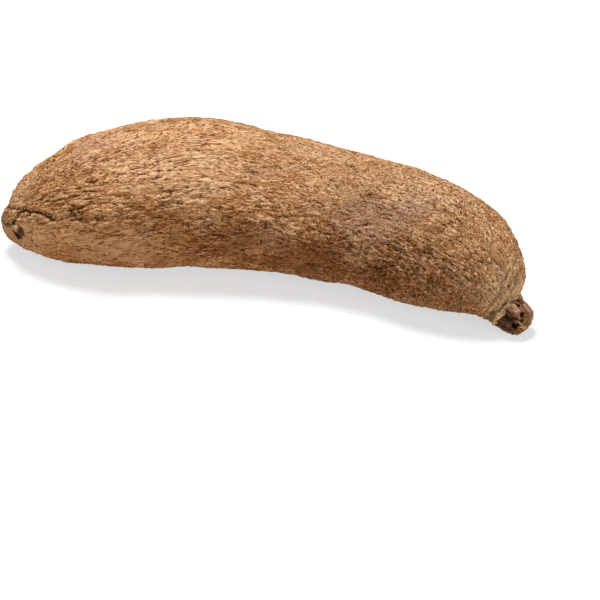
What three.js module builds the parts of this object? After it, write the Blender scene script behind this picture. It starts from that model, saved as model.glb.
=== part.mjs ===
// A puna yam: one whole tuber, lying on its side as it rests on a table.
// Millimetres, +Z up, +X from the root tip to the crown. The origin is under the middle of the tuber.
import * as THREE from "three";

// ---- driving dimensions ----

// The tuber's growth, from its root tip to its crown. Each stage gives where the middle of the flesh
// lies along and across the tuber, how far its underside clears the table, and its half thickness.
const GROWTH = [
  { along: -176, across: -37, clearance: 17, halfThickness: 10.5 },
  { along: -165, across: -35, clearance: 8.5, halfThickness: 17.5 },
  { along: -139, across: -31, clearance: 0.5, halfThickness: 34 },
  { along: -98, across: -22, clearance: 0, halfThickness: 46.5 },
  { along: -45, across: -4, clearance: 0, halfThickness: 50.5 },
  { along: 18, across: 4.5, clearance: 0, halfThickness: 45.5 },
  { along: 78, across: 1, clearance: 0, halfThickness: 43 },
  { along: 124, across: -11, clearance: 0, halfThickness: 42 },
  { along: 151, across: -20.5, clearance: 0, halfThickness: 35.5 },
  { along: 168, across: -27.5, clearance: 0.5, halfThickness: 25.5 },
  { along: 180, across: -34.5, clearance: 1.5, halfThickness: 13 },
  { along: 193, across: -44, clearance: 2, halfThickness: 9.5 },
];
const WIDTH_TO_THICKNESS = 1.05; // the flesh sags a little wider than it is thick
const FLATTENED_DEPTH = 1.6; // how deep the underside is worn flat where it rests

// The ends are rounded off over these lengths.
const TIP_ROUNDING = 10;
const CROWN_ROUNDING = 6;

// Broad swellings of the flesh: how many run along the tuber and round it, and how high they are.
const SWELLINGS = [
  { alongTuber: 2.3, roundTuber: 1, height: 1.1, start: 0.4 },
  { alongTuber: 3.7, roundTuber: 2, height: 0.8, start: 2.1 },
  { alongTuber: 6.1, roundTuber: 3, height: 0.6, start: 4.0 },
  { alongTuber: 9.3, roundTuber: 2, height: 0.4, start: 1.2 },
];

// Furrows that ring the tuber near an end, measured along it from that end.
const CROWN_FURROWS = [
  { fromEnd: 17, depth: 1.6, width: 3 },
  { fromEnd: 29, depth: 1.0, width: 3 },
  { fromEnd: 42, depth: 0.8, width: 3.5 },
];
const TIP_FURROWS = [
  { fromEnd: 10, depth: 1.2, width: 2.5 },
];

// How finely the surface is divided.
const SIDES = 44;
const BODY_RINGS = 58;
const CAP_RINGS = 5;

const SKIN = { color: 0x9b6f48, roughness: 0.9, metalness: 0 };

// ---- the tuber's axis and girth ----

const axis = new THREE.CatmullRomCurve3(
  GROWTH.map(({ along, across, clearance, halfThickness }) =>
    new THREE.Vector3(along, across, clearance + halfThickness - FLATTENED_DEPTH)),
);
const girth = new THREE.CatmullRomCurve3(
  GROWTH.map(({ halfThickness }, stage) => new THREE.Vector3(stage, halfThickness, 0)),
);
axis.arcLengthDivisions = 2000;
const axisLength = axis.getLength();

// A quarter ellipse, from 0 at an end of the tuber to 1 where its rounding is done.
function rounding(distance, length) {
  const rest = 1 - Math.min(distance / length, 1);
  return Math.sqrt(1 - rest * rest);
}

// How far the skin stands out from the plain round section at a place on the tuber.
function swelling(share, angle) {
  const fade = Math.sin(Math.PI * share);
  return SWELLINGS.reduce((sum, { alongTuber, roundTuber, height, start }) =>
    sum + height * fade * Math.sin(2 * Math.PI * alongTuber * share + start)
      * Math.cos(roundTuber * angle + start * 2), 0);
}

function furrowDepth(furrows, distance) {
  return furrows.reduce((sum, { fromEnd, depth, width }) =>
    sum + depth * Math.exp(-(((distance - fromEnd) / width) ** 2)), 0);
}

// Distances along the axis at which the rings stand: close together in the rounded ends.
function ringDistances() {
  const distances = [];
  for (let i = 1; i <= CAP_RINGS; i++) {
    distances.push(TIP_ROUNDING * (1 - Math.cos((Math.PI / 2) * (i / CAP_RINGS))));
  }
  const bodyLength = axisLength - TIP_ROUNDING - CROWN_ROUNDING;
  for (let i = 1; i < BODY_RINGS; i++) {
    distances.push(TIP_ROUNDING + bodyLength * (i / BODY_RINGS));
  }
  for (let i = CAP_RINGS; i >= 1; i--) {
    distances.push(axisLength - CROWN_ROUNDING * (1 - Math.cos((Math.PI / 2) * (i / CAP_RINGS))));
  }
  return distances;
}

// One ring of points round the axis. The angle runs from the top towards +Y.
function ring(distance) {
  const share = distance / axisLength;
  const stage = axis.getUtoTmapping(share);
  const centre = axis.getPoint(stage);
  const forward = axis.getTangent(stage);
  const side = new THREE.Vector3(0, 0, 1).cross(forward).normalize();
  const top = new THREE.Vector3().crossVectors(forward, side);
  const fromEnd = axisLength - distance;
  const round = rounding(distance, TIP_ROUNDING) * rounding(fromEnd, CROWN_ROUNDING);
  const halfThickness = girth.getPoint(stage).y
    - furrowDepth(CROWN_FURROWS, fromEnd) - furrowDepth(TIP_FURROWS, distance);
  const points = [];
  for (let i = 0; i < SIDES; i++) {
    const angle = (2 * Math.PI * i) / SIDES;
    const reach = (halfThickness + swelling(share, angle)) * round;
    const point = centre.clone()
      .addScaledVector(top, reach * Math.cos(angle))
      .addScaledVector(side, reach * WIDTH_TO_THICKNESS * Math.sin(angle));
    point.z = Math.max(point.z, 0);
    points.push(point);
  }
  return points;
}

// Closes the rings into one skin, with a single point at each end.
function tuberGeometry() {
  const rings = ringDistances().map(ring);
  const points = rings.flat();
  const faces = [];
  for (let j = 0; j + 1 < rings.length; j++) {
    for (let i = 0; i < SIDES; i++) {
      const here = j * SIDES + i;
      const next = j * SIDES + ((i + 1) % SIDES);
      faces.push(here, next + SIDES, next, here, here + SIDES, next + SIDES);
    }
  }
  const tip = points.push(axis.getPoint(0)) - 1;
  const crown = points.push(axis.getPoint(1)) - 1;
  const lastRing = (rings.length - 1) * SIDES;
  for (let i = 0; i < SIDES; i++) {
    const next = (i + 1) % SIDES;
    faces.push(tip, i, next);
    faces.push(crown, lastRing + next, lastRing + i);
  }
  const geometry = new THREE.BufferGeometry().setFromPoints(points);
  geometry.setIndex(faces);
  geometry.computeBoundingBox();
  const middle = geometry.boundingBox.getCenter(new THREE.Vector3());
  geometry.translate(-middle.x, -middle.y, 0);
  geometry.computeVertexNormals();
  return geometry;
}

const tuber = new THREE.Mesh(tuberGeometry(), new THREE.MeshStandardMaterial(SKIN));
tuber.name = "yam_tuber";

const yam = new THREE.Group();
yam.add(tuber);

export default yam;
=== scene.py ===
"""A whole puna yam: its corky bark and woody crown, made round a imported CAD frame.

Run it as a script. It registers a small add-on, calls one operator for each piece and one for the
stage, and leaves the finished tuber in the scene. Lengths are metres.
"""
import math

import bmesh
import bpy
import numpy as np
from bpy.props import FloatProperty, FloatVectorProperty, IntProperty, PointerProperty
from mathutils import Euler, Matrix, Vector
from mathutils.bvhtree import BVHTree


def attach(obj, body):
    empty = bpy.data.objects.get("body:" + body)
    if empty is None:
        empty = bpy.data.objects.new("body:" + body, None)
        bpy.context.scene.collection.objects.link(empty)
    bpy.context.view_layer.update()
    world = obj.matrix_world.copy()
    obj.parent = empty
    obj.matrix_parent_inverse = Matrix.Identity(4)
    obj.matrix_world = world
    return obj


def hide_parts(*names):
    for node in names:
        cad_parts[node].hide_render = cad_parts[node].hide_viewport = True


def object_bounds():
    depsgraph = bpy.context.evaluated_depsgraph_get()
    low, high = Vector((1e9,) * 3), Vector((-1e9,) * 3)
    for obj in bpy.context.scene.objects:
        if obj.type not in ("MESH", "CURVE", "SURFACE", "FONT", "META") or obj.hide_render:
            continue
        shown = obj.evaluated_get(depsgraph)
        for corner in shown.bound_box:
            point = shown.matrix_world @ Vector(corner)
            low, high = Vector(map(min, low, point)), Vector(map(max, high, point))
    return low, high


bl_info = {
    "name": "Puna Yam",
    "version": (1, 0, 0),
    "blender": (4, 5, 0),
    "location": "3D View > Sidebar > Yam",
    "description": "Builds the bark and the woody crown of a whole puna yam",
    "category": "Add Mesh",
}

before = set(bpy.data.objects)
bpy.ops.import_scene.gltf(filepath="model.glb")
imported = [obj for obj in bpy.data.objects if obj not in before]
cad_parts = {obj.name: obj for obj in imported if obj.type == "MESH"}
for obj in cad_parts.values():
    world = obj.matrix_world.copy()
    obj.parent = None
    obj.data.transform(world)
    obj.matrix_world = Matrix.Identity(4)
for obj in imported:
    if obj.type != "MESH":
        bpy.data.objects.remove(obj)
CAD_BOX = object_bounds()

TUBER = "yam_tuber"  # the CAD node that the pieces stand for
BODY = "root"
LOW, HIGH = (np.array(corner) for corner in CAD_BOX)
MM = 0.001

# How finely the pieces and the tuber's axis are divided.
BARK_RINGS, BARK_SIDES = 250, 396
CROWN_RINGS, CROWN_SIDES = 120, 260
STRAND_RINGS, STRAND_SIDES = 24, 10
AXIS_STATIONS, AXIS_POINTS = 60, 400  # while the axis is being found, and when it is done
AXIS_PASSES, AXIS_SMOOTHING = 14, 150
SLAB = 7 * MM  # half the thickness of the slices that the axis is first found from
FINE_STEPS = 700  # places along the axis that distances over the skin are measured from
PROBE_SIDES = 24  # rays round each place where the tuber is only being measured

RIM = 21 * MM  # how far over the skin the bark's rim stands from the end of the crown stub
STUB = 24 * MM  # how much of the axis the crown piece takes up
FINER = 1.1  # how much finer the wrinkles are on the crown's half of the tuber
LONGER = 0.32  # by this share distances count less, and wrinkles are longer, on the root's half
TUCK = 1.6 * MM  # how deep the stub passes under the bark at the rim
SHRINK = 0.42  # the bark's hidden end draws in by this share inside the stub
BANK = 2.6 * MM  # how far from a crack its raised bank stands
HOLE_DEPTH = 3.4 * MM  # of the healed hole near the root tip
FACE_LEAN = 35 * MM  # how far from the rim the crown's leaning face reaches
LEAN, LEAN_SIDE = 0.85, math.radians(150)  # how much it leans there, and towards which side
TWIST = 0.5  # how far the pattern turns round the tuber from end to end, in radians
USUAL_RADIUS = 45 * MM  # of the tuber, where the wrinkles have their ordinary width
FLOOR_GAP = 0.1 * MM  # how far over the floor the lowest points are kept

# Where things lie on the tuber, in millimetres from the middle of its footprint.
LUMPS = (  # places, widths and heights of low swellings and hollows of the flesh
    ((-26, 31, 91), 13, 0.8), ((-3, 36, 86), 14, -1.4), ((-122, 7, 85), 14, -0.9),
    ((133, 21, 71), 20, -2.4), ((180, -14, 26), 9, -2.0),
    ((-176, -29, 41), 7, 2.0), ((-183, -35, 19), 7, -2.4))
CROWN_FURROWS = (  # (distance from the rim, depth) of the furrows that ring the crown
    (4.2, 1.1), (7.4, 0.9), (11.2, 0.8), (15.5, 0.4))
TIP_MIDDLE = (-178, -27.5, 25.5)  # the middles of the two ends, a little under the skin
STUB_MIDDLE = (181, -31.5, 10.6)
STUB_HOLES = (  # places, widths and depths of the holes and swellings of the broken stub
    ((179.7, -36.5, 18.5), 2.0, 3.0), ((180.4, -38, 15), 1.9, 2.8), ((178.5, -31.2, 22), 1.3, 1.8),
    ((176.5, -27.8, 23.3), 1.3, 1.5), ((171, -39.6, 15.5), 2.8, 2.2), ((176, -41, 11.2), 3.0, 2.0),
    ((184, -32, 14), 4.0, -1.0), ((175.5, -33.5, 22.2), 3.2, -0.6), ((179, -20, 12), 3.0, 2.2),
    ((184.5, -27, 6.5), 2.0, 1.8), ((173, -17, 9), 2.4, 1.8))
NECK = (  # where the stub's upper side meets the crown's face
    (175.2, -29.5, 25.0), (177.6, -24.0, 23.4), (177.4, -17.0, 22.0), (174.8, -11.0, 19.0))
CROWN_FACE = ((174.0, -31.0, 37.0), (177.3, -23.5, 37.0), (176.4, -15.0, 36.0))
SHOULDER = (  # the slope from the root tip up to the thick part
    (-134, -22, 82), (-147, -24, 74), (-155, -27, 67), (-161, -31, 61))
CHIN = ((-176, -40, 24.5), (-172.5, -42, 19.5))  # below the root tip's healed hole
DRAWN_IN = (  # places where the skin lies inside the smooth solid: width round them and move
    (NECK, 5.5, (-4.1, 1.2, -0.5)), (CROWN_FACE, 9.0, (-2.3, 0.7, -0.3)),
    (SHOULDER, 9.0, (2.1, -0.4, -1.6)), (CHIN, 6.0, (1.5, 1.4, 1.4)))
STRANDS = (  # torn fibres on the stub: start, bend, end and thickness of each
    ((178.4, -39.6, 14.6), (181.2, -39.8, 12.4), (183.5, -36.6, 8.4), 0.30),
    ((179.4, -39.6, 11.4), (182.6, -38.0, 8.6), (183.8, -34.0, 7.2), 0.34),
    ((181.4, -25.4, 19.6), (184.0, -24.6, 17.0), (184.6, -23.8, 13.6), 0.30))
TIP_CRACK = (  # the crack along the upper side of the knob at the root tip
    (-181, -27, 34), (-169, -42.5, 43), (-164, -46, 45.7), (-161.5, -47.5, 47.2))
LONG_CRACK = (  # it goes on past a bridge of bark and dies out on the front
    (-158.5, -49.3, 48), (-153.5, -51.6, 49), (-148, -53.7, 50), (-141, -56, 51),
    (-137, -57.5, 49.8), (-131, -58.7, 49.5))
KNOB_CREASE = (  # the crease that parts the knob from the lobe below the crack
    (-158.5, -49.8, 46.8), (-161.5, -49, 43.5), (-164, -48.6, 39.5), (-167, -47, 34.5),
    (-174, -41.7, 28.5), (-180, -33, 25))
SIDE_SCAR = (  # a crescent where the skin healed
    (-119.3, -58, 58.6), (-116.2, -58.7, 56.8), (-113.9, -59.5, 54.3), (-111.5, -60.3, 52.9),
    (-109.8, -60, 54.5))
PIT_EDGE = ((-163.5, -49, 36.5), (-159.5, -51.6, 34), (-157.3, -52.5, 31.5))
TIP_PIT = (  # the torn hole where a side root broke off
    (-168.2, -46, 25.5), (-163, -49.3, 26.8), (-159.8, -51, 31.5))
NICK = ((6.8, -35.2, 52.8), (8.6, -34.2, 57.2))
CRACKS = (  # each crack with its width and depth
    (TIP_CRACK, 1.2, 3.6), (LONG_CRACK, 1.0, 3.0), (KNOB_CREASE, 1.6, 2.0),
    (PIT_EDGE, 1.1, 1.4), (SIDE_SCAR, 1.0, 1.8), (NICK, 1.1, 1.6))
SCARS = (  # small round scars
    (-144.2, -56.1, 47.1), (-132.4, -59.3, 38.9), (-127.3, -60, 40.5), (-85.5, -54.6, 63),
    (79, 3, 83.4), (46, -20, 72), (128, -30, 66), (20, 48, 62), (-70, 45, 70), (95, 42, 48))

# Where the look of the skin changes: middle and size of each patch, and for a table its strength.
WORN = (-94, -58, 35), (46, 30, 16)
ROUGH = (-136, -44, 66), (44, 30, 19)
# Patches darkened with the soil colour: partly rubbed-in soil, partly painted shade, mostly low on
# the front.
SOILED_AND_SHADED = (
    ((6, -35, 42), (22, 14, 14), 1.0), ((50, -40, 28), (90, 24, 21), 0.9),
    ((-50, -52, 38), (50, 16, 20), 0.55), ((95, -38, 56), (58, 26, 24), 0.45),
    ((-45, -45, 60), (76, 18, 14), 0.4), ((24, -43, 30), (38, 16, 14), 0.85),
    ((45, -20, 76), (42, 24, 16), 0.2))
PALE = (((-50, -30, 82), (40, 19, 14), 0.6), ((104, -6, 81), (40, 14, 14), 0.4))
DUSTY = (
    ((76, -26, 66), (26, 12, 20), 0.5), ((106, -19, 78), (14, 9, 9), 0.55),
    ((-106, -60, 30), (46, 24, 14), 0.35))
# Patches of ochre young bark, partly painted light that brightens the shaded lower sides of the
# two ends.
YOUNG_AND_LIT = (
    ((-168, -34, 56), (18, 24, 16), 0.25), ((-164, -44, 30), (20, 20, 16), 0.5),
    ((-140, -55, 40), (28, 16, 12), 0.2), ((171, -32, 26), (17, 22, 20), 0.9))
PINK = (-113, -20, 88), (16, 14, 12)
# Painted shadow: a patch under the bark's rim at the stub's lower front, darkened to the pit
# colour.
STUB_SHADOW = (173, -40, 12), (9, 6, 7)
STUB_PATCHES = (  # middle, size, heights where each starts and is full, strength and colour
    ((174.5, -33.5, 22), (4.5, 4, 3), 0.45, 0.62, 0.5, "flesh"),
    ((185.5, -29, 15), (3, 5, 6), 0.45, 0.70, 0.6, "dust"),
    ((182.8, -36.5, 12), (3, 3, 4), 0.48, 0.70, 0.6, "moss"))

# The stage.
VIEW_AZIMUTH, VIEW_ELEVATION = 16.4, 33.0  # degrees
VIEW_FROM = (0.02075, -0.0636, 1.065)  # the camera from the tuber's middle: right, up, back
FOCAL_LENGTH, SENSOR_WIDTH = 95.0, 36.0  # millimetres
NEAREST, FURTHEST = 0.05, 20.0  # what the camera can see
FLOOR_SIZE = 12.0
LAMPS = (  # name, place, size and power
    ("overhead softbox", (-0.20, 0.10, 1.5), 0.6, 30.0),
    ("left fill", (-1.6, -0.6, 0.5), 1.2, 10.0),
    ("right fill", (1.5, -0.8, 0.4), 1.1, 17.0))
WHITE = (1.0, 1.0, 1.0, 1.0)
FLOOR_LIT = (0.9, 0.9, 0.9, 1.0)  # the floor as the camera sees it
FLOOR_BOUNCE = (0.72, 0.58, 0.43, 1.0)  # and what it throws back on the tuber


# ---------------- settings

def length_setting(name, default, description):
    return FloatProperty(name=name, description=description, default=default, unit="LENGTH")


class YamBarkSettings(bpy.types.PropertyGroup):
    """The relief of the bark."""

    swelling: length_setting("Swelling", 0.0004, "Height of the broad lumps under the bark")
    fold_height: length_setting("Fold Height", 0.0010, "Height of the bark's wrinkles")
    plate_height: length_setting("Plate Height", 0.0010, "Height of the tilted plates of cork")
    wrinkle_length: length_setting("Wrinkle Length", 0.0043, "Size of a wrinkle along the tuber")
    wrinkle_width: length_setting("Wrinkle Width", 0.00155, "Size of a wrinkle round the tuber")
    seed: IntProperty(name="Seed", description="Another number, another bark", default=7)


class YamCrownSettings(bpy.types.PropertyGroup):
    """The relief of the crown's broken stub."""

    lump_height: length_setting("Lump Height", 0.0016, "Height of the lumps of old stem")
    pit_depth: length_setting("Pit Depth", 0.0036, "Depth of the holes between the lumps")
    fibre_height: length_setting("Fibre Height", 0.0006, "Height of the woody fibres")
    seed: IntProperty(name="Seed", description="Another number, another stub", default=3)


def colour_setting(name, default, description):
    return FloatVectorProperty(
        name=name, description=description, default=default, subtype="COLOR", size=3)


class YamColours(bpy.types.PropertyGroup):
    """The colours of the bark and the crown."""

    ridge: colour_setting("Ridge", (0.73, 0.440, 0.238), "Dry outer cork on the ridges")
    bark: colour_setting("Bark", (0.46, 0.206, 0.073), "The bark between ridge and crevice")
    # Crevice is partly the bark's own dark brown and partly painted shade, darkening the deep
    # places of the relief.
    crevice: colour_setting("Crevice", (0.175, 0.058, 0.013), "The bottom of the crevices")
    cork: colour_setting("Cork", (0.78, 0.50, 0.295), "Pale flecks of loose cork")
    # Soil darkens by multiplying: partly rubbed-in soil, partly painted shade on the tuber's lower
    # front.
    soil: colour_setting("Soil", (0.40, 0.29, 0.18), "What rubbed-in soil leaves of the bark")
    dust: colour_setting("Dust", (0.42, 0.275, 0.195), "Pale dust dried on the bark")
    # Ochre is partly young bark's own colour and partly painted light, brightening the shaded
    # lower sides of the two ends.
    ochre: colour_setting("Ochre", (0.88, 0.59, 0.33), "Yellow-brown young bark at the two ends")
    golden: colour_setting("Golden", (1.0, 0.95, 0.82), "What the root tip keeps of the bark")
    flesh: colour_setting("Flesh", (0.62, 0.36, 0.24), "Pinkish skin where the bark is worn")
    wood: colour_setting("Wood", (0.128, 0.052, 0.021), "The dark wood of the crown stub")
    rot: colour_setting("Rot", (0.22, 0.115, 0.110), "Torn flesh in the healed hole")
    split: colour_setting("Split", (0.040, 0.014, 0.009), "The inside of cracks and scars")
    # Pit is near black: painted shade in the stub's holes and low places, and painted shadow under
    # the bark's rim.
    pit: colour_setting("Pit", (0.014, 0.006, 0.005), "The bottoms of the stub's holes")
    moss: colour_setting("Moss", (0.40, 0.29, 0.085), "Greenish stain on the crown stub")
    fibre: colour_setting("Fibre", (0.50, 0.29, 0.145), "Dry fibres on the crown stub")


# ---------------- node graphs

def sum_of(operation, swapped=False):
    """A method that joins a wire and another value in a Math node."""
    def method(wire, other):
        return wire.graph.math(operation, *((other, wire) if swapped else (wire, other)))
    return method


class Wire:
    """A node socket that can stand in a sum: Python's operators on wires add Math nodes."""

    def __init__(self, graph, socket):
        self.graph = graph
        self.socket = socket

    __add__, __radd__ = sum_of("ADD"), sum_of("ADD", swapped=True)
    __sub__, __rsub__ = sum_of("SUBTRACT"), sum_of("SUBTRACT", swapped=True)
    __mul__ = sum_of("MULTIPLY")


class Graph:
    """A shader or geometry node tree while it is being wired."""

    def __init__(self, tree):
        self.tree = tree

    def add(self, kind, settings=None, inputs=None, output=0):
        """Adds a node, sets its settings, then its inputs, and returns the wire of one output."""
        node = self.tree.nodes.new(kind)
        for name, value in (settings or {}).items():
            setattr(node, name, value)
        for key, value in (inputs or {}).items():
            if isinstance(value, Wire):
                self.tree.links.new(value.socket, node.inputs[key])
            else:
                node.inputs[key].default_value = value
        return Wire(self, node.outputs[output]) if node.outputs else None

    def math(self, operation, *values):
        return self.add("ShaderNodeMath", {"operation": operation}, dict(enumerate(values)))

    def vector(self, operation, *values, output=0):
        """A Vector Math node. Scale takes its factor as the second value."""
        keys = (0, "Scale") if operation == "SCALE" else range(len(values))
        return self.add("ShaderNodeVectorMath", {"operation": operation},
                        dict(zip(keys, values)), output)

    def step(self, value, start, end):
        """0 below start, 1 above end and a smooth turn between them."""
        return self.add("ShaderNodeMapRange", {"interpolation_type": "SMOOTHSTEP"},
                        {"Value": value, "From Min": start, "From Max": end})

    def parts(self, place):
        node = self.tree.nodes.new("ShaderNodeSeparateXYZ")
        self.tree.links.new(place.socket, node.inputs[0])
        return [Wire(self, socket) for socket in node.outputs]

    def join(self, x, y, z):
        return self.add("ShaderNodeCombineXYZ", None, {0: x, 1: y, 2: z})

    def mix(self, factor, first, second, blend="MIX"):
        """Mixes two colours, each a wire or a colour setting."""
        first, second = (colour if isinstance(colour, Wire) else (*colour, 1.0)
                         for colour in (first, second))
        return self.add("ShaderNodeMix", {"data_type": "RGBA", "blend_type": blend},
                        {0: factor, 6: first, 7: second}, 2)

    def stretched(self, place, size, shift):
        """A place divided by a size along each axis, then turned and moved, for noise to read."""
        scale = tuple(1.0 / length for length in size)
        scaled = self.vector("MULTIPLY_ADD", place, scale, (shift, shift * 1.7, shift * 2.3))
        return self.add("ShaderNodeVectorRotate", {"rotation_type": "EULER_XYZ"},
                        {"Vector": scaled, "Rotation": (0.6, 0.5, 0.4)})

    def attribute(self, name):
        """A vector attribute of the mesh, read by either kind of tree."""
        if self.tree.bl_idname == "GeometryNodeTree":
            return self.add("GeometryNodeInputNamedAttribute", {"data_type": "FLOAT_VECTOR"},
                            {"Name": name})
        return self.add("ShaderNodeAttribute", {"attribute_name": name}, None, "Vector")

    def voronoi(self, place, output):
        return self.add("ShaderNodeTexVoronoi", {"voronoi_dimensions": "3D", "feature": "F1"},
                        {"Vector": place, "Scale": 1.0, "Randomness": 1.0}, output)

    def noise(self, place, size, shift, detail=2.0, roughness=0.6, output=0):
        """Noise with features of a size along each axis. Another shift gives other noise."""
        return self.add("ShaderNodeTexNoise", {"noise_dimensions": "3D"},
                        {"Vector": self.stretched(place, size, shift), "Scale": 1.0,
                         "Detail": detail, "Roughness": roughness}, output)

    def from_half(self, place):
        return self.vector("SUBTRACT", place, (0.5, 0.5, 0.5))

    def wander(self, place, size, distance, shift, detail=1.0):
        """A random move that changes smoothly from place to place."""
        colour = self.noise(place, size, shift, detail, 0.5, "Color")
        return self.vector("SCALE", self.from_half(colour), distance)

    def patch(self, place, middle, size):
        """1 inside a rounded patch round a middle and fading to 0 at its edge, in millimetres."""
        middle, size = (tuple(value * MM for value in values) for values in (middle, size))
        away = self.vector("DIVIDE", self.vector("SUBTRACT", place, middle), size)
        away = self.vector("DISTANCE", away, (0.0, 0.0, 0.0), output="Value")
        return 1.0 - self.step(away, 0.4, 1.6)

    def patches(self, place, table, total=None):
        """The sum of a table of patches, each times its strength, and what is given."""
        for middle, size, strength in table:
            patch = self.patch(place, middle, size) * strength
            total = patch if total is None else total + patch
        return total


# ---------------- the bark's pattern

class BarkPattern:
    """The wrinkles of the bark, built alike in a geometry tree and in a shader tree.

    grain is a place on the skin as (distance from the root tip, two distances round the tuber);
    spot is the same place in space; gap is its distance from the crown's rim, as rings count it.
    """

    def __init__(self, graph, grain, spot, gap, settings):
        self.graph = graph
        noise, step, vector = graph.noise, graph.step, graph.vector
        seed = float(settings.seed)
        along = graph.parts(grain)[0]
        curly = 1.0 - step(gap, 0.035, 0.125)
        self.near_crown = 1.0 - step(gap, 0.010, 0.032)
        bend = graph.wander(grain, (0.035, 0.022, 0.022), 0.006, seed)
        curl = graph.wander(grain, (0.008, 0.005, 0.005), 0.0018, seed + 3)
        curl = vector("SCALE", curl, 1.0 + curly * 1.2 - self.near_crown * 1.4)
        self.place = vector("ADD", vector("ADD", grain, bend), curl)
        bent, across, high = graph.parts(self.place)
        self.ring_place = graph.join(bent - along - gap, across, high)
        self.length, self.width = settings.wrinkle_length, settings.wrinkle_width
        ragged = vector("ADD", spot, graph.wander(grain, (0.010, 0.008, 0.008), 0.022, 2.0))
        self.ragged = ragged
        islands = noise(grain, (0.012, 0.007, 0.007), seed + 51)
        self.worn = graph.patch(ragged, *WORN) * (1.0 - step(islands, 0.55, 0.64) * 0.75)
        self.rough = graph.patch(ragged, *ROUGH)
        self.fold = self.folds(seed)
        self.plate = self.shingle(1.9, seed + 5) * (1.0 - self.near_crown * 0.2)
        fine = noise(self.place, self.size(0.42, 0.42), seed + 11)
        self.fine = step(fine, 0.32, 0.62)
        self.swell = noise(grain, (0.045, 0.030, 0.030), seed + 5, 1.0, 0.5)
        patchy = noise(grain, (0.030, 0.020, 0.020), seed + 21, 1.0, 0.5)
        self.bold = step(along, 0.20, 0.33) + self.near_crown * 0.8
        self.bold = self.bold + (1.0 - step(along, 0.03, 0.09)) * 0.5
        calm = noise(grain, (0.020, 0.010, 0.010), seed + 41, 2.0, 0.55)
        self.calm = step(calm, 0.50, 0.64) * (1.0 - self.bold * 0.4)
        strength = 0.9 + step(patchy, 0.3, 0.7) * 0.5 + self.rough * 0.3 + self.bold * 0.35
        strength = strength * (1.0 - self.worn * 0.35) * (1.0 - self.calm * 0.35)
        self.strength = strength * (0.35 + step(along, 0.004, 0.020) * 0.65)

    def size(self, along, across):
        """The size of some wrinkles, as multiples of an ordinary one's length and width."""
        return self.length * along, self.width * across, self.width * across

    def folds(self, seed):
        """1 on the wrinkles and 0 between them; the wrinkles run round the tuber at the crown."""
        graph = self.graph
        rings = graph.noise(self.ring_place, (0.0023, 0.014, 0.014), seed + 2, 2.0, 0.5)
        folds = graph.noise(self.place, self.size(1.0, 1.0), seed, 2.0, 0.55)
        folds = graph.step(folds + (rings - folds) * self.near_crown * 0.6, 0.38, 0.60)
        crease = graph.noise(self.place, self.size(2.2, 1.6), seed + 33, 1.0, 0.5)
        self.crease = 1.0 - graph.step(graph.math("ABSOLUTE", crease - 0.5), 0.005, 0.045)
        return folds * 0.75 + 0.25 - self.crease * 0.45

    def shingle(self, scale, seed):
        """Little domed plates, each tilted its own way so that one edge stands over the next."""
        graph = self.graph
        place = graph.stretched(self.place, self.size(scale, scale), seed)
        off = graph.vector("SUBTRACT", place, graph.voronoi(place, "Position"))
        self.tone = graph.voronoi(place, "Color")
        tilt = graph.from_half(self.tone)
        distance = graph.voronoi(place, "Distance")
        slope = graph.vector("DOT_PRODUCT", off, tilt, output="Value")
        return slope * 1.4 - distance * distance * 0.5 + 0.22


class CrownPattern:
    """The lumps, holes and fibres of the broken stub, built alike in both kinds of tree.

    grain is a place on the smooth stub as (along its axis, sideways, upwards); hole is 1 in the
    middle of its large holes.
    """

    def __init__(self, graph, grain, hole, settings):
        seed = float(settings.seed)
        bend = graph.wander(grain, (0.006, 0.006, 0.006), 0.004, seed, 2.0)
        place = graph.vector("ADD", grain, bend)
        self.lump = graph.noise(place, (0.0052, 0.0042, 0.0042), seed + 1)
        self.fibre = graph.noise(place, (0.0100, 0.0015, 0.0015), seed + 2)
        cave = graph.noise(place, (0.0060, 0.0032, 0.0032), seed + 4)
        self.pit = 1.0 - graph.step(cave, 0.36, 0.46)
        self.hole = graph.step(hole + (self.lump - 0.5) * 0.5, 0.30, 0.65)
        self.grit = graph.noise(place, (0.0032, 0.0013, 0.0013), seed + 6, 3.0)


# ---------------- meshes

def unit(vectors):
    return vectors / np.linalg.norm(vectors, axis=-1, keepdims=True)


def ring_directions(line):
    """Along, sideways and upwards at each point of a line that never stands upright."""
    forward = unit(np.gradient(line, axis=0))
    side = unit(np.cross(np.array([0.0, 0.0, 1.0]), forward))
    return forward, side, np.cross(forward, side)


def angles_round(sides):
    return np.arange(sides) * 2 * np.pi / sides


def spokes(side, up, sides):
    """Directions round each ring, from straight down and turning through +Y."""
    angle = angles_round(sides)
    return (side[:, None] * np.sin(angle)[None, :, None]
            - up[:, None] * np.cos(angle)[None, :, None])


def reach(tree, centres, directions):
    """How far the surface is from each centre along each of its directions, or 0 with none."""
    found = np.zeros(directions.shape[:2])
    for i, centre in enumerate(centres):
        start = Vector(centre)
        for j, direction in enumerate(directions[i]):
            hit = tree.ray_cast(start, Vector(direction))
            found[i, j] = hit[3] or 0.0
    return found


def between(at, knots, rows):
    """The vectors at some distances, when their rows are known at the knots."""
    return np.stack([np.interp(at, knots, rows[:, k]) for k in range(3)], axis=1)


def step_lengths(line):
    return np.linalg.norm(np.diff(line, axis=0), axis=1)


def running(steps):
    return np.concatenate([[0.0], np.cumsum(steps)])


def along_line(line, distances):
    """Points at distances along a line of points."""
    return between(distances, running(step_lengths(line)), line)


def line_length(line):
    return float(step_lengths(line).sum())


def evenly(line, count):
    return along_line(line, np.linspace(0, line_length(line), count))


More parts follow.
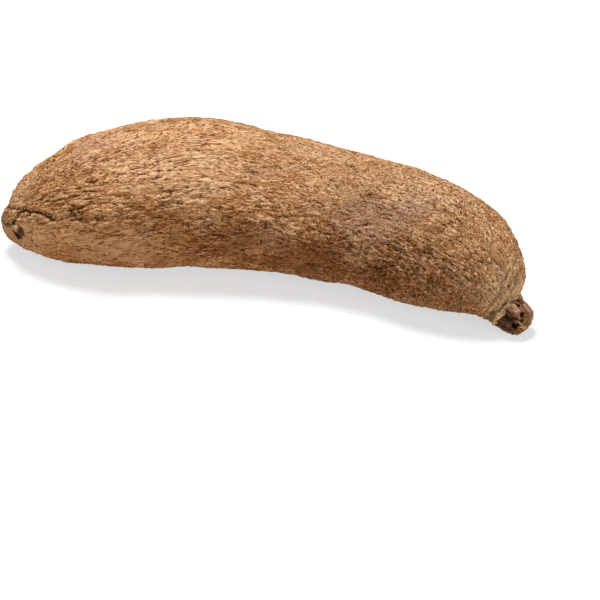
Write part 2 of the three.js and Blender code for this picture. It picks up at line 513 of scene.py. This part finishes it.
def softened(values, passes, closed=False):
    """Each value averaged with its neighbours, over and over; the ends stay, or meet if closed."""
    for _ in range(passes):
        if closed:
            values = (np.roll(values, 1, 1) + 2 * values + np.roll(values, -1, 1)) / 4
        else:
            inner = (values[:-2] + 2 * values[1:-1] + values[2:]) / 4
            values = np.concatenate([values[:1], inner, values[-1:]])
    return values


def middle_of_slab(points, x):
    """The middle of the box round the points that lie near a place along the tuber."""
    near = points[np.abs(points[:, 0] - x) < SLAB]
    return (near.min(0) + near.max(0)) / 2


def away_from_line(points, line):
    """How far each point is from a line through places given in millimetres."""
    line = np.array(line, float) * MM
    nearest = np.full(points.shape[:-1], np.inf)
    for start, end in zip(line[:-1], line[1:]):
        stretch = end - start
        share = np.clip((points - start) @ stretch / (stretch @ stretch), 0, 1)
        gap = np.linalg.norm(points - start - share[..., None] * stretch, axis=-1)
        nearest = np.minimum(nearest, gap)
    return nearest


def away_from_place(points, place):
    return np.linalg.norm(points - np.array(place) * MM, axis=-1)


def hump(distance, width):
    """1 at no distance, falling away in a bell of the given width in millimetres."""
    return np.exp(-(distance / (width * MM)) ** 2)


def turn_from(value, start, end):
    """0 before start, 1 after end and a smooth turn between them, in millimetres."""
    share = np.clip((value / MM - start) / (end - start), 0, 1)
    return share * share * (3 - 2 * share)


def wavering(points):
    """Points moved a little to and fro, so that a crack drawn through them is not straight."""
    sway = np.sin(points[..., [1, 2, 0]] * 950 + 1.0) + 0.6 * np.sin(points[..., [2, 0, 1]] * 2100)
    return points + 0.45 * MM * sway


def measured_tuber():
    """The CAD tuber's surface, as a tree to cast rays at made from a merged copy of its mesh, and
    the line through the middles of its cross-sections, from the root tip to the crown."""
    copy = bmesh.new()
    copy.from_mesh(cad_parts[TUBER].data)
    bmesh.ops.remove_doubles(copy, verts=copy.verts, dist=1e-6)
    tree = BVHTree.FromBMesh(copy)
    points = np.array([v.co for v in copy.verts])
    copy.free()
    line = np.array([middle_of_slab(points, x)
                     for x in np.linspace(LOW[0], HIGH[0], AXIS_STATIONS)])
    line[0], line[-1] = np.array(TIP_MIDDLE) * MM, np.array(STUB_MIDDLE) * MM
    for _ in range(AXIS_PASSES):
        _, side, up = ring_directions(line)
        rays = spokes(side, up, PROBE_SIDES)
        found = reach(tree, line[1:-1], rays[1:-1])
        middles = line[1:-1] + (rays[1:-1] * found[..., None]).mean(1) * 1.5
        line = softened(np.concatenate([line[:1], middles, line[-1:]]), 2)
        line = evenly(line, AXIS_STATIONS)
    ends = []
    for end, inner in ((0, 2), (-1, -3)):
        outward = Vector(unit(line[end] - line[inner]))
        ends.append(np.array(tree.ray_cast(Vector(line[end]), outward)[0])[None])
    line = np.concatenate([ends[0], line, ends[1]])
    return tree, evenly(softened(evenly(line, AXIS_POINTS), AXIS_SMOOTHING), AXIS_POINTS)


class Skin:
    """A grid of points over a stretch of the tuber, in rings round its axis."""

    def __init__(self, tree, axis, start, end, rings, sides, crowding):
        """start and end are distances along the axis; crowding gives how close the rings stand
        at a distance over the skin, as a multiple of the ordinary."""
        total = line_length(axis)
        fine_at = total * (1 - np.cos(np.linspace(0, np.pi, FINE_STEPS))) / 2
        fine_at = np.clip(fine_at[(fine_at >= start) & (fine_at <= end)], 1e-5, total - 1e-5)
        centres, rays, radius = self.rings_at(tree, axis, fine_at, PROBE_SIDES)
        fine = centres[:, None] + rays * radius[..., None]
        steps = np.linalg.norm(np.diff(fine, axis=0), axis=2).mean(1)
        over = running(steps)
        weight = crowding(over, over[-1])
        shares = running((weight[1:] + weight[:-1]) / 2 * steps)
        self.over = np.interp(np.linspace(0, shares[-1], rings), shares, over)
        self.skin_length = over[-1]
        at = np.interp(self.over, over, fine_at)
        self.centres, self.rays, self.radius = self.rings_at(tree, axis, at, sides)

    def surface(self, radius):
        return self.centres[:, None] + self.rays * radius[..., None]

    @staticmethod
    def rings_at(tree, axis, at, sides):
        _, side, up = ring_directions(axis)
        knots = np.linspace(0, line_length(axis), len(axis))
        centres = along_line(axis, at)
        rays = spokes(unit(between(at, knots, side)), unit(between(at, knots, up)), sides)
        return centres, rays, reach(tree, centres, rays)


def crowd_at_ends(over, length):
    """Rings stand closer at the root tip and where the bark meets the crown."""
    return 1 + 2.6 * np.exp(-(over / 0.026) ** 2) + 1.6 * np.exp(-((length - over) / 0.036) ** 2)


def even_rings(over, length):
    return np.ones_like(over)


def closed_grid(name, points, poles, attributes):
    """A closed mesh of a grid of rings with a point at each end, and its attributes."""
    rings, sides = points.shape[:2]
    vertices = np.concatenate([points.reshape(-1, 3), np.array(poles)])
    first, last = rings * sides, rings * sides + 1
    column = np.arange(sides)
    after = (column + 1) % sides
    here = np.arange(rings - 1)[:, None] * sides
    there = here + sides
    quads = np.stack([here + column, here + after, there + after, there + column], 2)
    base = (rings - 1) * sides
    fans = [(first, b, a) for a, b in zip(column, after)]
    fans += [(last, base + a, base + b) for a, b in zip(column, after)]
    mesh = bpy.data.meshes.new(name)
    mesh.from_pydata(vertices.tolist(), [], quads.reshape(-1, 4).tolist() + fans)
    for key, values in attributes.items():
        attribute = mesh.attributes.new(key, "FLOAT_VECTOR", "POINT")
        attribute.data.foreach_set("vector", np.asarray(values, np.float32).ravel())
    return mesh


def add_map(mesh, rings_u, sides):
    """A map that unrolls the grid: along the skin one way and round it the other."""
    here, there = (np.repeat(u, sides) for u in (rings_u[:-1], rings_u[1:]))
    left, right = (np.arange(k, sides + k) / sides for k in (0, 1))
    middle = (np.arange(sides) + 0.5) / sides
    maps = []
    caps = ((0.0, rings_u[0], right, left), (1.0, rings_u[-1], left, right))
    for pole, ring, one, other in caps:
        pole, ring = np.full(sides, pole), np.full(sides, ring)
        maps.append(np.stack([pole, middle, ring, one, ring, other], 1).ravel())
    left, right = (np.tile(v, len(rings_u) - 1) for v in (left, right))
    quads = np.stack([here, left, here, right, there, right, there, left], 1).ravel()
    layer = mesh.uv_layers.new(name="OFBake")
    layer.data.foreach_set("uv", np.concatenate([quads, *maps]).astype(np.float32))


def place_mesh(name, mesh):
    piece = bpy.data.objects.new(name, mesh)
    bpy.context.scene.collection.objects.link(piece)
    return piece


# ---------------- geometry nodes

def new_geometry_tree(name, settings, *numbers):
    """A geometry tree with inputs for the geometry, its material and some of the settings."""
    tree = bpy.data.node_groups.new(name, "GeometryNodeTree")
    for label, way, kind in (("Geometry", "INPUT", "Geometry"), ("Geometry", "OUTPUT", "Geometry"),
                             ("Material", "INPUT", "Material")):
        tree.interface.new_socket(label, in_out=way, socket_type="NodeSocket" + kind)
    for number in numbers:
        label = number.replace("_", " ").title()
        socket = tree.interface.new_socket(label, in_out="INPUT", socket_type="NodeSocketFloat")
        socket.default_value = getattr(settings, number)
    entry = tree.nodes.new("NodeGroupInput")
    leave = tree.nodes.new("NodeGroupOutput")
    graph = Graph(tree)
    wires = {socket.name: Wire(graph, socket) for socket in entry.outputs if socket.name}
    return tree, graph, wires, leave


def finish_tree(graph, given, height, leave):
    """Raises the geometry along its normals, keeps it just over the floor, makes its copies
    real and sets its material."""
    offset = graph.vector("SCALE", graph.add("GeometryNodeInputNormal"), height)
    raised = graph.add("GeometryNodeSetPosition", None,
                       {"Geometry": given["Geometry"], "Offset": offset})
    x, y, z = graph.parts(graph.add("GeometryNodeInputPosition"))
    level = graph.join(x, y, graph.math("MAXIMUM", z, FLOOR_GAP))
    rested = graph.add("GeometryNodeSetPosition", None, {"Geometry": raised, "Position": level})
    real = graph.add("GeometryNodeRealizeInstances", None, {0: rested})
    done = graph.add("GeometryNodeSetMaterial", None,
                     {"Geometry": real, "Material": given["Material"]})
    graph.tree.links.new(done.socket, leave.inputs[0])


def result_of(source, tree, values, name):
    """The plain object that a geometry tree makes from a source object, which is then removed."""
    modifier = source.modifiers.new("shape", "NODES")
    modifier.node_group = tree
    for item in tree.interface.items_tree:
        if item.item_type == "SOCKET" and item.in_out == "INPUT" and item.name in values:
            modifier[item.identifier] = values[item.name]
    depsgraph = bpy.context.evaluated_depsgraph_get()
    evaluated = source.evaluated_get(depsgraph)
    mesh = bpy.data.meshes.new_from_object(
        evaluated, preserve_all_data_layers=True, depsgraph=depsgraph)
    mesh.name = name
    source.modifiers.clear()
    old = source.data
    bpy.data.objects.remove(source)
    bpy.data.meshes.remove(old)
    return place_mesh(name, mesh)


def bark_relief_tree(settings):
    """Raises the bark's swellings, wrinkles and plates on a smooth skin."""
    tree, graph, given, leave = new_geometry_tree(
        "Bark Relief", settings, "swelling", "fold_height", "plate_height")
    grain = graph.attribute("grain")
    spot = graph.add("GeometryNodeInputPosition")
    gap = graph.parts(graph.attribute("marks"))[2]
    pattern = BarkPattern(graph, grain, spot, gap, settings)
    relief = given["Fold Height"] * (pattern.fold - 0.6) + given["Plate Height"] * pattern.plate
    height = given["Swelling"] * (pattern.swell - 0.5) * 4.0 + relief * pattern.strength
    finish_tree(graph, given, height, leave)
    return tree


def crown_relief_tree(settings):
    """Breaks up the smooth crown stub into lumps and holes with fibres over them."""
    tree, graph, given, leave = new_geometry_tree(
        "Crown Relief", settings, "lump_height", "pit_depth", "fibre_height")
    hole = graph.parts(graph.attribute("marks"))[0]
    pattern = CrownPattern(graph, graph.attribute("grain"), hole, settings)
    height = (given["Lump Height"] * (pattern.lump - 0.5) * 2.0
              - given["Pit Depth"] * pattern.pit
              + given["Fibre Height"] * (pattern.fibre + pattern.grit - 1.0) * 2.0)
    finish_tree(graph, given, height, leave)
    return tree


# ---------------- materials

def new_material(name):
    material = bpy.data.materials.new(name)
    material.use_nodes = True
    material.node_tree.nodes.clear()
    return material, Graph(material.node_tree)


def finish_material(graph, colour, roughness, height, depth):
    """Ends a material in a matt surface with a bump of a given depth."""
    bump = graph.add("ShaderNodeBump", None,
                     {"Height": height, "Distance": depth, "Strength": 1.0})
    surface = graph.add("ShaderNodeBsdfPrincipled", None,
                        {"Base Color": colour, "Roughness": roughness,
                         "Specular IOR Level": 0.07, "Normal": bump})
    graph.add("ShaderNodeOutputMaterial", None, {"Surface": surface})


def bark_material(settings, colours):
    material, graph = new_material("corky bark")
    mix, step = graph.mix, graph.step
    grain = graph.attribute("grain")
    spot = graph.add("ShaderNodeTexCoord", None, None, "Object")
    crack, rot, gap = graph.parts(graph.attribute("marks"))
    pattern = BarkPattern(graph, grain, spot, gap, settings)
    mottle = graph.noise(grain, (0.016, 0.010, 0.010), 31.0, 3.0)
    hollow = graph.noise(pattern.place, (0.011, 0.006, 0.006), 37.0)
    drift = graph.noise(grain, (0.050, 0.032, 0.032), 43.0, 2.0, 0.55)
    tone, tone_two, _ = graph.parts(pattern.tone)
    depth = pattern.fold * 0.34 + pattern.plate * 0.28 + pattern.fine * 0.36 + 0.16
    strands = graph.noise(pattern.place, (0.0068, 0.0016, 0.0016), 61.0)
    depth = 0.5 + (depth - 0.5) * (1.2 + pattern.bold * 0.35)
    depth = depth + (0.62 - depth) * pattern.calm * 0.45
    depth = depth + (0.66 + (strands - 0.5) * 5.0 - depth) * pattern.worn * 0.6

    # Partly painted shade: the deep places of the relief take the crevice colour, partly dark bark
    # and partly shade painted in.
    colour = mix(step(depth, 0.06, 0.68), colours.crevice, colours.bark)
    raised = step(pattern.fine * 0.40 + mottle + depth * 0.35, 0.86, 1.20)
    colour = mix(raised * 0.9, colour, colours.ridge)
    fleck = step(tone_two, 0.74, 0.84) * step(depth, 0.35, 0.72)
    colour = mix(fleck * 0.6, colour, colours.cork)
    # Partly soil, partly painted shade: scattered deep spots darkened towards the crevice colour.
    sunk_soil_and_shade = step(hollow, 0.53, 0.68) * step(1.2 - depth, 0.2, 0.9)
    colour = mix(sunk_soil_and_shade * 0.16, colour, colours.crevice)
    # Painted shade: the creases, also cut into the relief, darkened towards the crevice colour.
    colour = mix(pattern.crease * (0.45 - pattern.worn * 0.25), colour, colours.crevice)

    ragged = pattern.ragged
    # Darkening with the soil colour, most in the deep places: partly soil, partly painted shade on
    # the lower front.
    soil_and_shade = graph.patches(ragged, SOILED_AND_SHADED)
    soil_and_shade = soil_and_shade + pattern.rough * 0.2 + step(drift, 0.56, 0.70) * 0.22
    soil_and_shade = graph.math("MINIMUM", soil_and_shade * (1.5 - depth), 0.85)
    colour = mix(soil_and_shade, colour, colours.soil, "MULTIPLY")
    dry = pattern.worn * 0.35 + (1.0 - step(drift, 0.30, 0.44)) * 0.4
    colour = mix(dry * step(depth, 0.1, 0.9), colour, colours.ridge)
    pale = graph.patches(ragged, PALE)
    colour = mix(pale * step(depth, 0.2, 0.9), colour, colours.cork)
    dusty = graph.patches(ragged, DUSTY) * step(depth + tone * 0.5, 0.45, 1.15)
    dusty = graph.math("MINIMUM", dusty, 0.7)
    colour = mix(dusty, colour, colours.dust)
    golden = 1.0 - step(graph.parts(grain)[0], 0.05, 0.11)
    colour = mix(golden, colour, colours.golden, "MULTIPLY")
    rim = 1.0 - step(graph.math("ABSOLUTE", gap - 0.0015), 0.0008, 0.0038)
    # Ochre at the rim and the ends: partly young bark, partly painted light on their shaded lower
    # sides.
    young = graph.patches(ragged, YOUNG_AND_LIT, rim * 0.9)
    young = graph.math("MINIMUM", young, 0.88) * step(depth, 0.05, 0.60)
    colour = mix(young, colour, colours.ochre)
    pink = graph.patch(ragged, *PINK) * 0.5
    colour = mix(pink * (0.2 + depth * 0.8), colour, colours.flesh)
    # Painted shade: a soft dark margin round the cracks, scars and furrows, in the crevice colour.
    colour = mix(step(crack, 0.35, 0.80) * 0.30, colour, colours.crevice)
    crack = step(crack + (pattern.fine - 0.5) * 0.08, 0.80, 0.94)
    colour = mix(rot, colour, colours.rot)
    colour = mix(crack * 0.84, colour, colours.split)

    height = (pattern.fold * 0.5 + pattern.plate * 0.3) * pattern.strength * 0.8
    height = height + pattern.fine * 0.4 + strands * pattern.worn * 0.6
    finish_material(graph, colour, 0.9, height, 0.0015)
    return material


def crown_material(settings, colours):
    material, graph = new_material("crown wood")
    mix, step = graph.mix, graph.step
    spot = graph.add("ShaderNodeTexCoord", None, None, "Object")
    hole = graph.parts(graph.attribute("marks"))[0]
    pattern = CrownPattern(graph, graph.attribute("grain"), hole, settings)
    high = pattern.fibre * 0.4 + pattern.lump * 0.5 + pattern.grit * 0.35
    # Painted shade: the low places of the stub's relief take the near-black pit colour.
    colour = mix(step(high, 0.46, 0.60), colours.pit, colours.wood)
    colour = mix(step(high, 0.60, 0.76) * 0.7, colour, colours.fibre)
    for middle, size, start, end, strength, name in STUB_PATCHES:
        patch = graph.patch(spot, middle, size) * step(high, start, end) * strength
        colour = mix(patch, colour, getattr(colours, name))
    # Painted shade in the stub's pits and holes, and painted shadow under the rim, in the pit
    # colour.
    dark = graph.patch(spot, *STUB_SHADOW) * 0.7
    dark = graph.math("MAXIMUM", dark, graph.math("MAXIMUM", pattern.pit * 0.8, pattern.hole))
    colour = mix(dark * 0.92, colour, colours.pit)
    finish_material(graph, colour, 0.85, pattern.fibre + pattern.grit, 0.0008)
    return material


def fibre_material(colours):
    material, graph = new_material("torn fibre")
    spot = graph.add("ShaderNodeTexCoord", None, None, "Object")
    grit = graph.noise(spot, (0.0012, 0.0012, 0.0030), 5.0)
    colour = graph.mix(graph.step(grit, 0.3, 0.9), colours.fibre, colours.cork)
    finish_material(graph, colour, 0.85, grit, 0.0003)
    return material


# ---------------- operators

def counted_faster(over, start, end, more):
    """What is added to distances along the skin that count faster by a share that grows from
    nothing at start to its full value at end."""
    ramp = np.clip((over - start) / (end - start), 0, 1)
    return more * ((end - start) * ramp * ramp / 2 + np.maximum(over - end, 0))


def grain_along(over, length):
    """Distance along the skin as the wrinkles count it: they are longer on the root's half of
    the tuber, finer on the crown's half, and short close to the crown."""
    return (over + counted_faster(over, length * 0.25, length * 0.36, -LONGER)
            + counted_faster(over, length * 0.42, length * 0.60, LONGER + FINER - 1)
            + counted_faster(over, length - 0.130, length - 0.040, 1.0))


def grain_of(skin, sides):
    """A place on the skin as (distance along it, two distances round it), for patterns to read."""
    finer = 1 + (FINER - 1) * np.clip((skin.over / skin.skin_length - 0.40) / 0.20, 0, 1)
    girth = np.sqrt(skin.radius.mean(1) * USUAL_RADIUS) * finer
    turned = angles_round(sides)[None] + TWIST * (skin.over / skin.skin_length)[:, None]
    over = np.repeat(grain_along(skin.over, skin.skin_length)[:, None], sides, 1)
    grain = np.stack([over, girth[:, None] * np.cos(turned), girth[:, None] * np.sin(turned)], 2)
    ends = np.array([[0.0, 0.0, 0.0], [over[-1, 0], 0.0, 0.0]])
    return np.concatenate([grain.reshape(-1, 3), ends])


def drawn_in(surface):
    """The surface with its hollow places drawn in, most of all the neck above the stub."""
    moved = surface.copy()
    for line, width, move in DRAWN_IN:
        near = hump(away_from_line(surface, line), width)
        moved += near[..., None] * np.array(move) * MM
    return moved


def gap_to_rim(to_crown, sides):
    """Distance from the crown's rim, as the rings round the crown count it: over the top and
    down the far side the rings spread apart, because the crown's face leans back there."""
    before = to_crown - RIM
    lean = LEAN * ((1 + np.cos(angles_round(sides) - LEAN_SIDE)) / 2) ** 3
    return before - lean[None] * FACE_LEAN * (1 - np.exp(-np.maximum(before, 0) / FACE_LEAN))


def finish_piece(piece):
    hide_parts(TUBER)
    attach(piece, BODY)


def make_piece(name, skin, surface, poles, attributes, relief, material):
    """Lays a closed grid on the tuber, and finishes what a relief tree makes of it."""
    mesh = closed_grid(name + "_skin", surface, poles, attributes)
    add_map(mesh, skin.over / skin.skin_length, surface.shape[1])
    mesh.shade_smooth()
    source = place_mesh(name + "_skin", mesh)
    finish_piece(result_of(source, relief, {"Material": material}, name))


class YAM_OT_bark(bpy.types.Operator):
    """Make the tuber's bark, with its wrinkles, cracks and scars"""

    bl_idname = "yam.bark"
    bl_label = "Bark"

    def execute(self, context):
        settings = context.scene.yam_bark
        tree, axis = measured_tuber()
        skin = Skin(tree, axis, 0.0, line_length(axis), BARK_RINGS, BARK_SIDES, crowd_at_ends)
        smooth = softened(skin.radius, 3, closed=True)
        surface = drawn_in(skin.surface(smooth))
        to_crown = (skin.skin_length - skin.over)[:, None]
        raised, marks = self.mark(surface, to_crown)
        surface = surface + skin.rays * raised[..., None]
        rim_middle = skin.centres[np.argmin(np.abs(to_crown[:, 0] - RIM))]
        inside_stub = (1 - turn_from(to_crown - RIM, -1.5, 0.6)) * SHRINK
        surface = surface + (rim_middle - surface) * inside_stub[..., None]
        far_end = axis[-1] + (rim_middle - axis[-1]) * SHRINK
        end_marks = [[0.0, 0.0, marks[0, 0, 2]], [0.0, 0.0, marks[-1, 0, 2]]]
        attributes = {"grain": grain_of(skin, BARK_SIDES),
                      "marks": np.concatenate([marks.reshape(-1, 3), end_marks])}
        material = bark_material(settings, context.scene.yam_colours)
        make_piece("bark", skin, surface, (axis[0], far_end), attributes,
                   bark_relief_tree(settings), material)
        return {"FINISHED"}

    def mark(self, surface, to_crown):
        """How far the skin stands out at its cracks, scars and rim, and its marks there as
        (crack, rot, distance from the rim)."""
        swayed = wavering(surface)
        raised = np.zeros(surface.shape[:2])
        crack = np.zeros_like(raised)
        for line, width, depth in CRACKS:
            away = away_from_line(swayed, line)
            raised += hump(away - BANK, 1.6) * 0.45 * MM - hump(away, width) * depth * MM
            crack = np.maximum(crack, hump(away, 2.4) * min(1.0, 0.8 + depth / 10))
        from_pit = away_from_line(swayed, TIP_PIT)
        hole = 1 - turn_from(from_pit, 1.8, 3.6)
        raised -= hole * HOLE_DEPTH
        crack = np.maximum(crack, hump(from_pit - BANK, 1.5) * 0.94)
        for place, width, height in LUMPS:
            raised += hump(away_from_place(surface, place), width) * height * MM
        for scar in SCARS:
            away = away_from_place(swayed, scar)
            raised += hump(away - 2.0 * MM, 0.9) * 0.6 * MM - hump(away, 1.3) * 0.9 * MM
            crack = np.maximum(crack, hump(away, 2.4))
        gap = gap_to_rim(to_crown, BARK_SIDES)
        angle = angles_round(BARK_SIDES)
        for number, (place, depth) in enumerate(CROWN_FURROWS):
            sway = np.sin(angle * 3 + number * 2.1) + 0.7 * np.sin(angle * 7 + number * 1.3)
            away = np.abs(gap - (place + 0.5 * sway[None]) * MM)
            strength = 0.75 + 0.25 * np.sin(angle * 2 + number * 2.7)[None]
            raised += (hump(away - 1.8 * MM, 1.1) * 0.35 - hump(away, 1.1)) * depth * strength * MM
            crack = np.maximum(crack, hump(away, 1.8) * (0.52 + 0.3 * strength * depth))
        raised += hump(gap - 1.6 * MM, 1.6) * MM
        return raised, np.stack([crack, hole, gap], axis=2)


class YAM_OT_crown(bpy.types.Operator):
    """Make the broken woody stub at the crown, set into the bark's rim"""

    bl_idname = "yam.crown"
    bl_label = "Crown Stub"

    def execute(self, context):
        settings = context.scene.yam_crown
        tree, axis = measured_tuber()
        total = line_length(axis)
        skin = Skin(tree, axis, total - STUB, total, CROWN_RINGS, CROWN_SIDES, even_rings)
        before = (skin.skin_length - skin.over)[:, None] - RIM
        base = skin.radius[np.argmin(np.abs(before[:, 0]))]
        hidden = turn_from(before, 0.0, 2.0)
        radius = skin.radius + (np.minimum(skin.radius, base[None]) - skin.radius) * hidden
        radius = softened(radius - hidden * TUCK, 3, closed=True)
        surface = skin.surface(radius)
        hole = np.zeros_like(radius)
        for place, width, depth in STUB_HOLES:
            bell = hump(away_from_place(surface, place), width)
            radius = radius - bell * depth * MM
            hole = np.maximum(hole, bell * (depth > 0))
        surface = drawn_in(skin.surface(radius))
        marks = np.stack([hole, hole * 0, hole * 0], axis=2)
        turned = np.stack([vectors[-1] for vectors in ring_directions(axis)], axis=1)
        every_point = np.concatenate([surface.reshape(-1, 3), [skin.centres[0], axis[-1]]])
        attributes = {"grain": every_point @ turned,
                      "marks": np.concatenate([marks.reshape(-1, 3), np.zeros((2, 3))])}
        material = crown_material(settings, context.scene.yam_colours)
        make_piece("crown_stub", skin, surface, (skin.centres[0], axis[-1]), attributes,
                   crown_relief_tree(settings), material)
        return {"FINISHED"}


def strand_rings(start, bend, end, thickness):
    """The rings of a strand that bends once and tapers to its end, and its two end points."""
    share = np.linspace(0, 1, STRAND_RINGS)[:, None]
    start, bend, end = (np.array(place) * MM for place in (start, bend, end))
    line = start * (1 - share) ** 2 + bend * 2 * share * (1 - share) + end * share ** 2
    _, side, up = ring_directions(line)
    ragged = 1 + 0.25 * np.sin(share * 17) * np.cos(share * 41)
    narrow_start = np.where(share > 0, 1, 2 / 27)
    radius = thickness * MM * ragged * (1 - share ** 3 * 0.8) * narrow_start
    return line[:, None] + spokes(side, up, STRAND_SIDES) * radius[..., None], (line[0], line[-1])


class YAM_OT_fibres(bpy.types.Operator):
    """Make the torn fibres that stand out from the crown stub"""

    bl_idname = "yam.fibres"
    bl_label = "Torn Fibres"

    def execute(self, context):
        joined = bmesh.new()
        for strand in STRANDS:
            rings, ends = strand_rings(*strand)
            part = closed_grid("strand", rings, ends, {})
            joined.from_mesh(part)
            bpy.data.meshes.remove(part)
        mesh = bpy.data.meshes.new("torn_fibres")
        joined.to_mesh(mesh)
        joined.free()
        mesh.shade_smooth()
        mesh.materials.append(fibre_material(context.scene.yam_colours))
        finish_piece(place_mesh("torn_fibres", mesh))
        return {"FINISHED"}


class YAM_OT_stage(bpy.types.Operator):
    """Make the floor, the lamps, the world and the camera"""

    bl_idname = "yam.stage"
    bl_label = "Stage"

    def execute(self, context):
        scene = context.scene
        scene.view_settings.view_transform = "Standard"
        self.make_camera(scene)
        self.make_floor()
        self.make_lamps(scene)
        self.make_world(scene)
        return {"FINISHED"}

    def make_camera(self, scene):
        data = bpy.data.cameras.new("camera")
        data.lens, data.sensor_width = FOCAL_LENGTH, SENSOR_WIDTH
        data.clip_start, data.clip_end = NEAREST, FURTHEST
        camera = bpy.data.objects.new("camera", data)
        turn = Euler((math.radians(90 - VIEW_ELEVATION), 0.0, math.radians(VIEW_AZIMUTH)))
        camera.rotation_euler = turn
        camera.location = (Vector(LOW) + Vector(HIGH)) / 2 + turn.to_matrix() @ Vector(VIEW_FROM)
        scene.collection.objects.link(camera)
        scene.camera = camera

    def make_floor(self):
        bpy.ops.mesh.primitive_plane_add(size=FLOOR_SIZE)
        floor = bpy.context.active_object
        floor.name = "floor"
        material, graph = new_material("pale floor")
        seen = graph.add("ShaderNodeLightPath", None, None, "Is Camera Ray")
        lit = graph.add("ShaderNodeBsdfDiffuse", None, {"Color": FLOOR_LIT})
        glow = graph.add("ShaderNodeEmission", None, {"Color": WHITE})
        pale = graph.add("ShaderNodeMixShader", None, {0: 0.6, 1: lit, 2: glow})
        dull = graph.add("ShaderNodeBsdfDiffuse", None, {"Color": FLOOR_BOUNCE})
        both = graph.add("ShaderNodeMixShader", None, {0: seen, 1: dull, 2: pale})
        graph.add("ShaderNodeOutputMaterial", None, {"Surface": both})
        floor.data.materials.append(material)

    def make_lamps(self, scene):
        for name, place, size, power in LAMPS:
            data = bpy.data.lights.new(name, "AREA")
            data.shape = "DISK"
            data.size = size
            data.energy = power
            lamp = bpy.data.objects.new(name, data)
            lamp.location = place
            lamp.rotation_euler = (-Vector(place)).to_track_quat("-Z", "Y").to_euler()
            scene.collection.objects.link(lamp)

    def make_world(self, scene):
        world = bpy.data.worlds.new("world")
        world.use_nodes = True
        world.node_tree.nodes.clear()
        graph = Graph(world.node_tree)
        seen = graph.add("ShaderNodeLightPath", None, None, "Is Camera Ray")
        strength = 0.20 + seen * 0.80
        sky = graph.add("ShaderNodeBackground", None, {"Color": WHITE, "Strength": strength})
        graph.add("ShaderNodeOutputWorld", None, {"Surface": sky})
        scene.world = world


class YAM_PT_panel(bpy.types.Panel):
    """The yam's operators and settings"""

    bl_idname = "YAM_PT_panel"
    bl_label = "Puna Yam"
    bl_space_type = "VIEW_3D"
    bl_region_type = "UI"
    bl_category = "Yam"

    def draw(self, context):
        for operator in OPERATORS:
            self.layout.operator(operator.bl_idname)
        for setting in SETTINGS:
            for name in SETTINGS[setting].__annotations__:
                self.layout.prop(getattr(context.scene, setting), name)


OPERATORS = (YAM_OT_stage, YAM_OT_bark, YAM_OT_crown, YAM_OT_fibres)
SETTINGS = {"yam_bark": YamBarkSettings, "yam_crown": YamCrownSettings, "yam_colours": YamColours}
CLASSES = (*SETTINGS.values(), *OPERATORS, YAM_PT_panel)


def register():
    for cls in CLASSES:
        bpy.utils.register_class(cls)
    for name, settings in SETTINGS.items():
        setattr(bpy.types.Scene, name, PointerProperty(type=settings))


def unregister():
    for name in SETTINGS:
        delattr(bpy.types.Scene, name)
    for cls in reversed(CLASSES):
        bpy.utils.unregister_class(cls)


def main():
    register()
    bpy.ops.yam.stage()
    bpy.ops.yam.bark()
    bpy.ops.yam.crown()
    bpy.ops.yam.fibres()


if __name__ == "__main__":
    main()
